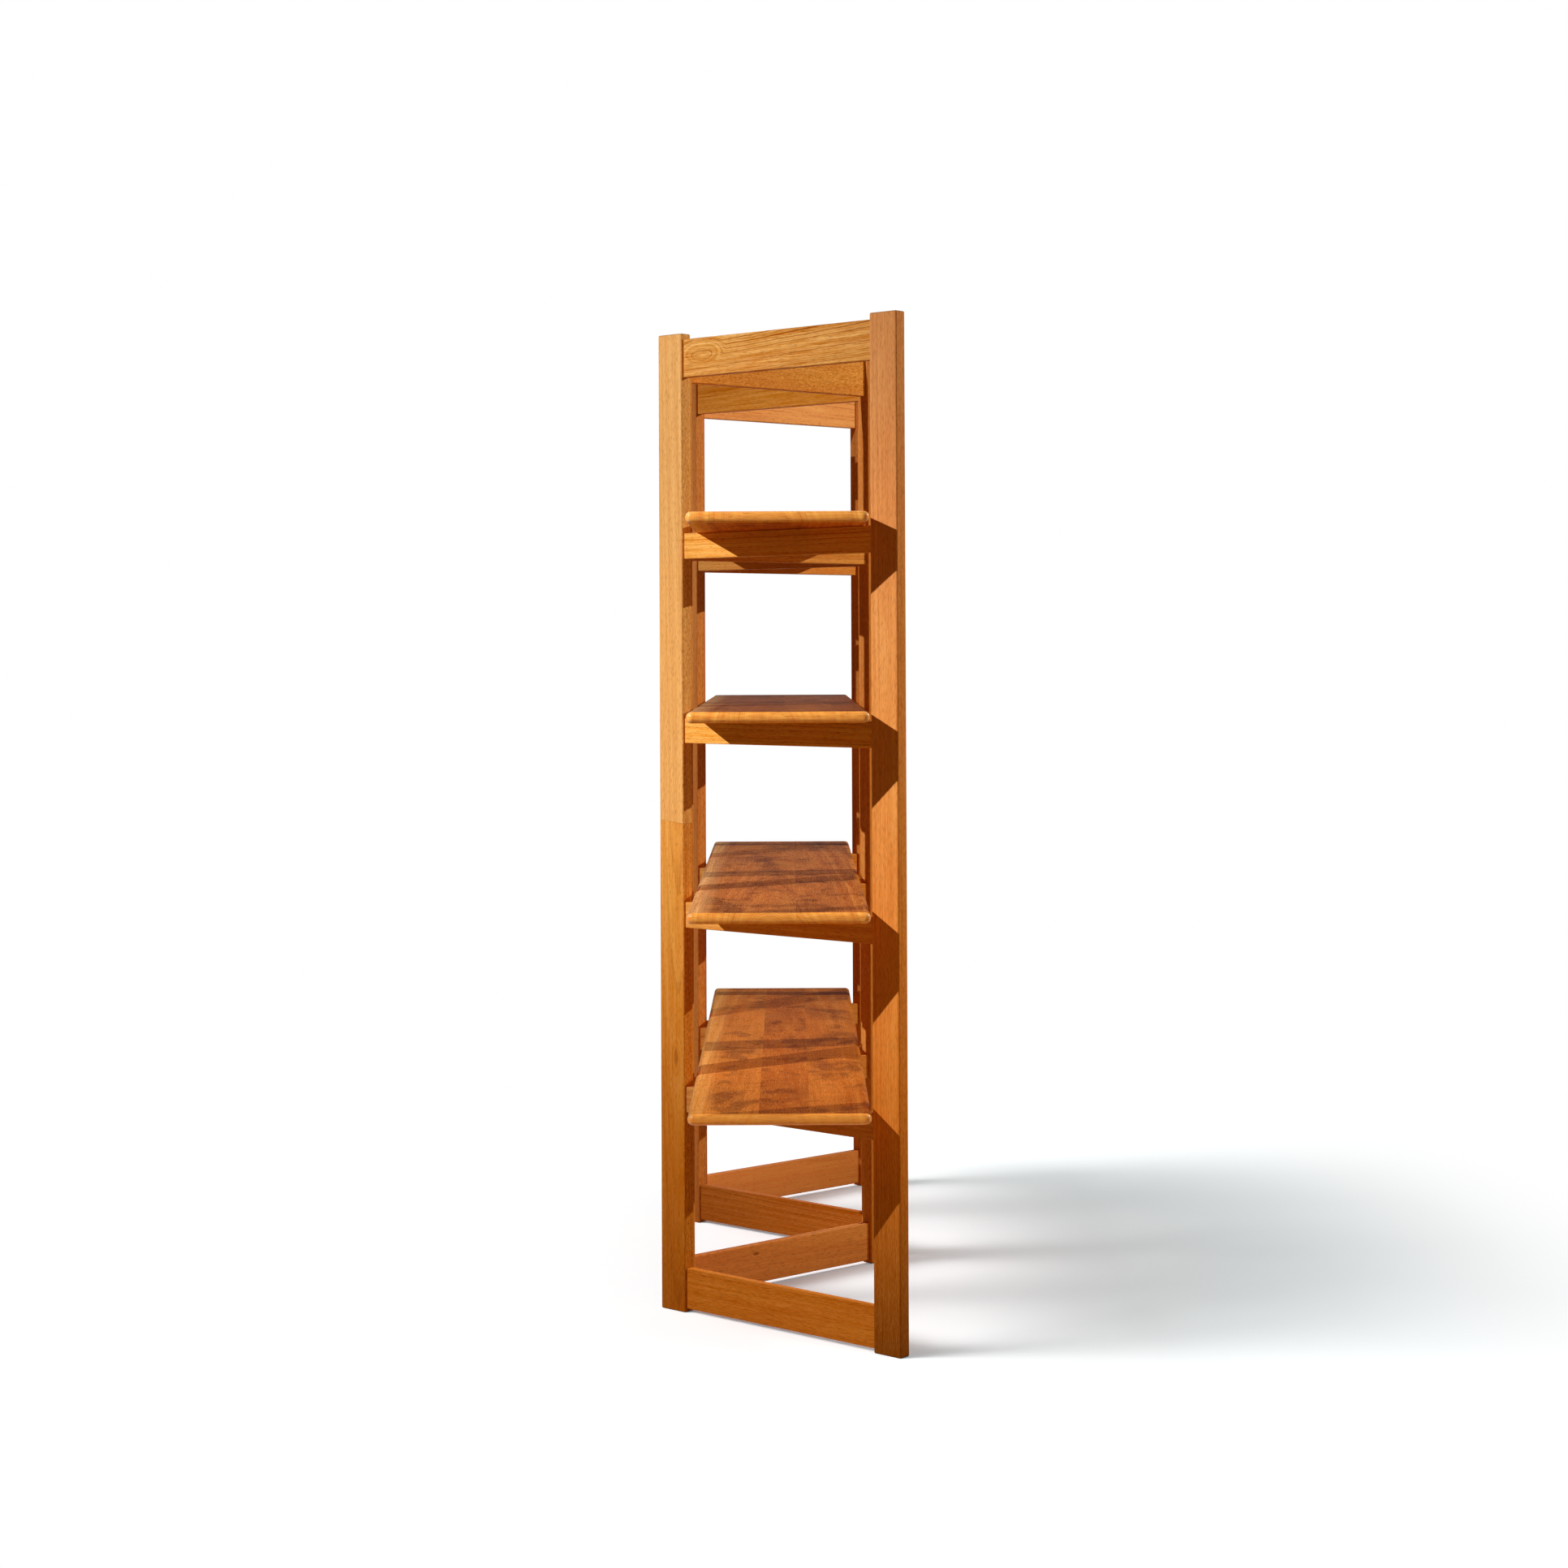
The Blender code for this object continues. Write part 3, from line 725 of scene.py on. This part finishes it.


# Characters of single boards, seen in the wood itself, except the change along the first frame's posts,
# which paints shade towards their feet. Others are drawn from the seeded generator.
# A mark is its place along and across, its size in both, and its strength
boardCharacters = {
    "frame1_left_post": {
        "tone": (-0.20, 1.0, 0.12), "heart": (0.11, 0.09), "figure": 0.20, "tilt": 0.03,
        # Painted shade: below the turn this post grows darker and deeper in hue towards the floor
        "turns": 0.0, "shadeTurnsBy": (0.35, -0.34, 0.65), "speckle": 0.8, "knot": 0.55,
        "mark": ((-0.441, 0.0101), (0.026, 0.0075), 0.012)},
    "frame1_right_post": {
        "tone": (0.40, 1.05, -0.20), "heart": (-0.15, 0.05), "figure": 0.40,
        # Painted shade: below the turn this post grows deeper in hue, and its foot darker, towards the floor
        "turns": 0.60, "shadeTurnsBy": (0.10, 0.10, 0.95), "footShadeDarkens": 1.7},
    "frame2_left_post": {"tone": (0.30, 0.90, 0.5), "speckle": 0.8},
    "frame3_left_post": {"tone": (0.60, 0.87, 0.3), "speckle": 0.5},
    "frame4_left_post": {"tone": (0.90, 0.86, 0.3), "speckle": 0.5},
    "frame1_top_rail": {
        "tone": (0.16, 0.97, 0.60), "heart": (0.055, 0.030), "figure": 2.0,
        "tilt": 0.03, "slant": 0.03, "mark": ((0.184, 0.014), (0.038, 0.0165), 0.027)},
    "frame2_top_rail": {
        "tone": (0.33, 1.06, 0.8), "heart": (0.12, 0.06), "figure": 0.0,
        "speckle": 0.0, "flatSpeckle": 0.9},
    "frame3_top_rail": {"tone": (0.42, 0.99, 1.1), "heart": (0.05, 0.03), "figure": 1.0, "slant": 0.04},
    "frame4_top_rail": {"tone": (0.42, 1.30, -0.6), "heart": (0.05, 0.04), "figure": 1.0, "slant": -0.05},
    "frame1_rail_4": {"tone": (-0.05, 1.16, 0.7), "heart": (0.04, 0.03), "figure": 1.0},
    "frame1_rail_3": {"tone": (0.15, 1.16, 0.8), "heart": (0.05, 0.03), "figure": 1.2},
    "frame1_rail_1": {"tone": (0.35, 0.82, 0.1), "heart": (0.05, 0.04), "figure": 1.0},
    "frame1_bottom_rail": {"tone": (0.46, 0.94, 1.1), "heart": (0.06, 0.03), "figure": 0.6},
    "frame2_bottom_rail": {
        "tone": (0.56, 1.18, -0.2), "heart": (0.03, 0.06), "figure": 0.5,
        "knot": 0.8, "mark": ((0.0727, 0.020), (0.012, 0.0045), 0.006)},
    "frame3_bottom_rail": {"tone": (0.80, 0.80, 1.1), "heart": (0.05, 0.04), "figure": 1.0},
    "frame4_bottom_rail": {"tone": (0.52, 1.48, -0.6), "heart": (0.04, 0.07), "figure": 0.5},
}

# The scarf joint in the first frame's left post: a plane through the board's middle, by its normal
scarfJoint = {"frame1_left_post": (1.0, 0.10, 0.0)}


# Heights, from the post's middle, between which its hinge leaves lie, and the face they are let into:
# 1 or -1 along the frame's own through axis
def hingeLevels(number, middle, turn, origin):
    gap = posts["leafGap"]
    levels = []
    face = 1
    for name in frame["nodes"]:
        if not name.endswith(f"_leaf_frame{number}"):
            continue
        low, high = nodeSpan(name, turn, origin)
        leafAcross, leafThrough, _ = (low + high) / 2
        if leafAcross * middle[0] > 0:
            levels.append((low[2] - middle[2] - gap, high[2] - middle[2] + gap))
            face = 1 if leafThrough > 0 else -1
    return sorted(levels), face


def buildPost(number, side, wood, turn, origin, generator):
    node = f"frame{number}_{side}_post"
    halves, middle = halvesAndMiddle(*nodeSpan(node, turn, origin))
    levels, hingeFace = hingeLevels(number, middle, turn, origin)
    outer = 1 if middle[0] > 0 else -1
    # The outline is drawn for an outer edge at -a and a hinge face at +b
    grid = postSurface(halves, levels, posts) * np.array([-outer, hingeFace, 1])
    mesh = closedMesh(f"{node}_wood", grid)
    radius = posts["edgeRadius"]
    normals, away = slabNormals(readPoints(mesh), halves, radius, radius)
    dressBoard(mesh, [2, 0, 1], normals, boardCharacters.get(node, {}), generator, scarfJoint.get(node))
    settle(mesh, normals, away, np.eye(3), middle, turn, origin)
    addPiece(f"{node}_wood", mesh, wood, node)


rails = {"edgeRadius": 0.002, "arcSteps": 4, "shoulderGap": 0.0005}
railNames = ("top_rail", "rail_4", "rail_3", "rail_2", "rail_1", "bottom_rail")


def buildRail(number, name, wood, turn, origin, innerEdge, generator):
    node = f"frame{number}_{name}"
    low, high = nodeSpan(node, turn, origin)
    low[0] = -innerEdge + rails["shoulderGap"]
    high[0] = innerEdge - rails["shoulderGap"]
    halves, middle = halvesAndMiddle(low, high)
    radius = rails["edgeRadius"]
    # Slab axes a, b and c are the rail's height, thickness and run
    slabHalves = np.array([halves[2], halves[1], halves[0]])
    mesh = closedMesh(f"{node}_wood", slabSurface(slabHalves, radius, radius, rails["arcSteps"]))
    normals, away = slabNormals(readPoints(mesh), slabHalves, radius, radius)
    dressBoard(mesh, [2, 0, 1], normals, boardCharacters.get(node, {}), generator)
    toFrame = np.array([[0.0, 0.0, -1.0], [0.0, 1.0, 0.0], [1.0, 0.0, 0.0]])
    settle(mesh, normals, away, toFrame, middle, turn, origin)
    addPiece(f"{node}_wood", mesh, wood, node)


# Staves are where the joints between them lie across the board, and steps how much warmer the wood is
# past each
shelves = {
    "cornerRadius": 0.012,
    "edgeRadius": 0.009,
    "arcSteps": 8,
    # Painted light on the shelves' undersides, as if lit from the floor below
    "all": {"heart": (0.0, -0.07), "tilt": 0.05, "underside": 0.95},
    "characters": {
        "shelf_1": {"tone": (0.05, 0.90, 0.55), "figure": 0.5,
                    "staves": (-0.036, 0.052, faraway), "steps": (0.40, -0.15, 0.0)},
        "shelf_2": {"tone": (-0.60, 0.85, -0.25), "figure": 1.0,
                    "staves": (-0.140, 0.030, 0.146), "steps": (1.05, 0.12, -0.25)},
        "shelf_3": {"tone": (0.80, 0.57, -0.4), "figure": 0.9,
                    "staves": (-0.090, 0.010, 0.100), "steps": (0.15, -0.20, 0.25)},
        "shelf_4": {"tone": (0.60, 0.90, 0.2), "figure": 0.9,
                    "staves": (-0.060, 0.050, faraway), "steps": (0.20, -0.25, 0.0)},
    },
}


def buildShelves(generator):
    low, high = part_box("shelf_1")
    wood = shelfWood(shelfTeak, (high.x - low.x) / 2, (high.y - low.y) / 2)
    cornerRadius, edgeRadius = shelves["cornerRadius"], shelves["edgeRadius"]
    for node, character in shelves["characters"].items():
        halves, middle = halvesAndMiddle(*(np.array(corner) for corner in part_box(node)))
        mesh = closedMesh(f"{node}_wood", slabSurface(halves, cornerRadius, edgeRadius, shelves["arcSteps"]))
        normals, away = slabNormals(readPoints(mesh), halves, cornerRadius, edgeRadius)
        dressBoard(mesh, [1, 0, 2], normals, {**character, **shelves["all"]}, generator,
                   staves=character["staves"])
        settle(mesh, normals, away, np.eye(3), middle, 0.0, (0.0, 0.0, 0.0))
        addPiece(f"{node}_wood", mesh, wood, node)
        print("shelf built:", node)


frameNumbers = range(1, 5)
frameSeed = 7
shelfSeed = 11


def buildFrames(generator):
    wood = frameTeak(teak)
    for number in frameNumbers:
        turn, origin = ladderFrame(number)
        inner = []
        for side in ("left", "right"):
            buildPost(number, side, wood, turn, origin, generator)
            low, high = nodeSpan(f"frame{number}_{side}_post", turn, origin)
            inner.append(min(abs(low[0]), abs(high[0])))
        for name in railNames:
            buildRail(number, name, wood, turn, origin, min(inner), generator)
        print("ladder frame built:", number)


buildFrames(np.random.default_rng(frameSeed))
buildShelves(np.random.default_rng(shelfSeed))


# Hinges
brass = {
    "bright": shade(214, 176, 104),
    "dull": shade(150, 112, 58),
    "dullLevels": (0.4, 0.75),
    "dullDepth": 0.7,
    "clouds": {"patches": (60.0, 60.0, 60.0), "detail": 3.0, "roughness": 0.6},
    "brushing": {"patches": (900.0, 900.0, 60.0)},
    "roughness": 0.30,
    "cloudRough": 0.3,
    "brushRough": 0.12,
    "bump": 0.00005,
    "bumpStrength": 0.3,
}


def brassMaterial(look):
    material, recipe = newMaterial("satinBrass")
    place = recipe.node("ShaderNodeTexCoord", {}, {}, "Object")
    cloud = recipe.noise(place, **look["clouds"])
    brush = recipe.noise(place, **look["brushing"])
    dulled = recipe.rise(cloud, *look["dullLevels"]) * look["dullDepth"]
    rough = look["roughness"] + (cloud - 0.5) * look["cloudRough"] + (brush - 0.5) * look["brushRough"]
    bump = recipe.node("ShaderNodeBump", {}, {
        "Strength": look["bumpStrength"], "Distance": look["bump"], "Height": brush})
    surface = recipe.node("ShaderNodeBsdfPrincipled", {}, {
        "Base Color": recipe.mix(dulled, look["bright"], look["dull"]), "Metallic": 1.0,
        "Roughness": rough, "Normal": bump})
    recipe.node("ShaderNodeOutputMaterial", {}, [surface])
    return material


def dressHinges():
    metal = brassMaterial(brass)
    for name, node in frame["nodes"].items():
        if name.startswith("hinge"):
            node.data.materials.clear()
            node.data.materials.append(metal)


dressHinges()
print("hinges dressed")


# Camera: where it stands and how it is aimed, from the picture's own perspective
camera = {
    "place": (0.018, -5.7065, 1.2377),
    "yaw": radians(-0.0824),
    "pitch": radians(0.58),
    "roll": radians(0.24),
    "sensor": 36.0,  # millimetres
    "focal": 3450.0,  # in the picture's pixels
    "horizon": 764.8,  # the picture's row that the lens is level with
    "picture": 1932.0,  # the picture's side, in pixels
}


def addCamera(look):
    data = bpy.data.cameras.new("camera")
    data.sensor_width = look["sensor"]
    data.lens = look["focal"] / look["picture"] * look["sensor"]
    data.shift_y = (look["horizon"] - look["picture"] / 2) / look["picture"]
    item = bpy.data.objects.new("camera", data)
    bpy.context.scene.collection.objects.link(item)
    yaw, pitch, roll = look["yaw"], look["pitch"], look["roll"]
    level = Vector((cos(yaw), -sin(yaw), 0.0))
    forward = Vector((sin(yaw) * cos(pitch), cos(yaw) * cos(pitch), sin(pitch)))
    above = level.cross(forward)
    right = cos(roll) * level - sin(roll) * above
    up = cos(roll) * above + sin(roll) * level
    axes = Matrix((right, up, -forward)).transposed().to_4x4()
    item.matrix_world = Matrix.Translation(Vector(look["place"])) @ axes
    bpy.context.scene.camera = item


addCamera(camera)


# Stage: a white floor that keeps the object's shadow, a white surround, and lamps
stage = {
    "floorHalf": 14.0,
    # Painted pool of warm light: the floor's colour as the wood sees it, brighter and warmer near the object
    "paintedPoolNear": (0.41, 0.24, 0.040),  # what the floor sends back up to the wood, near it and far off
    "paintedPoolFar": (0.090, 0.053, 0.011),
    "paintedPoolReach": (1.2, 3.6),
    "floorShown": 1.1,  # how strongly the floor's own light and shadow show in the picture
    "floorWhite": (0.030, 0.088, 0.098),  # less red, because the wood throws some on the floor
    "fadeMiddle": (0.35, 0.0, 0.0),
    "fadeSquash": (1.0, 0.45, 1.0),  # the shadow fades to white over a longer way along the shelves
    "fadeReach": (0.45, 1.5),
    "surround": 0.030,
    "surroundTint": (1.0, 0.48, 0.10),
}


def seenDirectly(recipe):
    path = recipe.node("ShaderNodeLightPath", {}, {}, "Is Camera Ray")
    glossy = Strand(recipe, path.socket.node.outputs["Is Glossy Ray"])
    through = Strand(recipe, path.socket.node.outputs["Is Transmission Ray"])
    return recipe.maths("MAXIMUM", recipe.maths("MAXIMUM", path, glossy), through)


# Seen directly, the floor shows its light and shadow and fades to white. To the wood it is a painted pool of
# warm light, brighter near the object
def floorMaterial(look):
    material, recipe = newMaterial("paleFloor")
    seen = seenDirectly(recipe)
    place = recipe.node("ShaderNodeTexCoord", {}, {}, "Object")
    away = recipe.vector("SUBTRACT", place, look["fadeMiddle"])
    squashed = recipe.vector("MULTIPLY", away, look["fadeSquash"])
    fade = recipe.rise(recipe.length(squashed), *look["fadeReach"]) * seen
    # Painted pool of light: to the wood, the floor is brighter near the object than far off
    bounced = recipe.rise(recipe.length(away), *look["paintedPoolReach"])
    bounce = recipe.mix(bounced, look["paintedPoolNear"], look["paintedPoolFar"])
    colour = recipe.mix(seen, bounce, [look["floorShown"]] * 3)
    diffuse = recipe.node("ShaderNodeBsdfDiffuse", {}, {"Color": colour})
    # The glow makes up for the tint of the surround, so that the shadow stays grey
    lost = [look["surround"] * (1 - tint) for tint in look["surroundTint"]]
    glowColour = [level + look["floorShown"] * share for level, share in zip(look["floorWhite"], lost)]
    glow = recipe.node("ShaderNodeEmission", {}, {"Color": (*glowColour, 1.0), "Strength": seen})
    lit = recipe.node("ShaderNodeAddShader", {}, [diffuse, glow])
    white = recipe.node("ShaderNodeEmission", {}, {"Strength": 1.0})
    surface = recipe.node("ShaderNodeMixShader", {}, [fade, lit, white])
    recipe.node("ShaderNodeOutputMaterial", {}, [surface])
    return material


def addFloor(look):
    half = look["floorHalf"]
    corners = [(-half, -half, 0), (half, -half, 0), (half, half, 0), (-half, half, 0)]
    mesh = bpy.data.meshes.new("floor")
    mesh.from_pydata(corners, [], [(0, 1, 2, 3)])
    floor = bpy.data.objects.new("floor", mesh)
    bpy.context.scene.collection.objects.link(floor)
    mesh.materials.append(floorMaterial(look))
    return floor


def addSurround(look):
    world = bpy.data.worlds.new("surround")
    world.use_nodes = True
    bpy.context.scene.world = world
    recipe = Recipe(world.node_tree)
    seen = seenDirectly(recipe)
    colour = recipe.mix(seen, look["surroundTint"], (1.0, 1.0, 1.0))
    strength = look["surround"] + seen * (1.0 - look["surround"])
    background = recipe.node("ShaderNodeBackground", {}, {"Color": colour, "Strength": strength})
    recipe.node("ShaderNodeOutputWorld", {}, [background])


# Small bright lamps, whose beams fall off softly from their middle. Two stand together as the key lamp,
# one for the upper half and a warmer one for the lower
beams = {
    "keyHigh": {"place": (-2.33, -2.17, 2.77), "aim": (0.21, -0.12, 1.17), "power": 300.0, "radius": 0.012,
                "angle": 44.6, "tint": (1.0, 1.0, 1.0)},
    "keyLow": {"place": (-2.33, -2.17, 2.77), "aim": (-0.24, -1.23, 0.58), "power": 196.0, "radius": 0.012,
               "angle": 51.2, "tint": (1.0, 0.86, 0.62)},
    "sideLamp": {"place": (3.45, 0.72, 2.87), "aim": (0.0, -0.2, 1.15), "power": 540.0, "radius": 0.014,
                 "angle": 52.0, "tint": (1.0, 0.88, 0.60)},
}

softboxes = {
    "frontSoftbox": {"place": (0.6, -5.6, 1.1), "aim": (0.0, -0.5, 0.8), "power": 9.0, "size": 2.2,
                     "tint": (1.0, 0.50, 0.08)},
    "rightSoftbox": {"place": (4.2, -2.0, 1.7), "aim": (0.0, -0.2, 1.0), "power": 11.0, "size": 2.2,
                     "tint": (1.0, 0.62, 0.18)},
}

# The floor's own broad lamps: two from the key lamp's side, for a soft shadow that is deeper at the foot,
# and one from overhead for the shade under the boards
floorSuns = [
    {"direction": (0.90, 0.17, -0.54), "power": 2.7, "spread": 48.0},
    {"direction": (0.90, 0.17, -0.54), "power": 1.45, "spread": 20.0},
    {"direction": (-0.25, 0.10, -1.0), "power": 0.97, "spread": 60.0},
]


# The lamp reaches the floor alone, or everything but the floor
def linkFloor(lamp, floor, state):
    receivers = bpy.data.collections.new(f"{lamp.name}Receivers")
    receivers.objects.link(floor)
    lamp.light_linking.receiver_collection = receivers
    receivers.collection_objects[0].light_linking.link_state = state


def addLamp(name, kind, place, direction, power, tint):
    data = bpy.data.lights.new(name, kind)
    data.energy = power
    data.color = tint
    lamp = bpy.data.objects.new(name, data)
    turn = Vector(direction).to_track_quat("-Z", "Y")
    lamp.matrix_world = Matrix.Translation(Vector(place)) @ turn.to_matrix().to_4x4()
    bpy.context.scene.collection.objects.link(lamp)
    return lamp


def addAimedLamp(name, kind, look):
    direction = Vector(look["aim"]) - Vector(look["place"])
    return addLamp(name, kind, look["place"], direction, look["power"], look["tint"])


def addBeam(name, look):
    lamp = addAimedLamp(name, "SPOT", look)
    lamp.data.shadow_soft_size = look["radius"]
    lamp.data.spot_size = radians(look["angle"])
    lamp.data.spot_blend = 1.0
    return lamp


def addSoftbox(name, look):
    lamp = addAimedLamp(name, "AREA", look)
    lamp.data.shape = "SQUARE"
    lamp.data.size = look["size"]
    return lamp


def addFloorSun(name, look):
    overhead = (0.0, 0.0, 3.0)
    lamp = addLamp(name, "SUN", overhead, look["direction"], look["power"], (1.0, 1.0, 1.0))
    lamp.data.angle = radians(look["spread"])
    return lamp


def buildStage():
    floor = addFloor(stage)
    addSurround(stage)
    for name, look in beams.items():
        linkFloor(addBeam(name, look), floor, "EXCLUDE")
    for name, look in softboxes.items():
        linkFloor(addSoftbox(name, look), floor, "EXCLUDE")
    for number, look in enumerate(floorSuns):
        linkFloor(addFloorSun(f"floorSun{number}", look), floor, "INCLUDE")
    bpy.context.scene.view_settings.view_transform = "Standard"
    print("stage set")


buildStage()
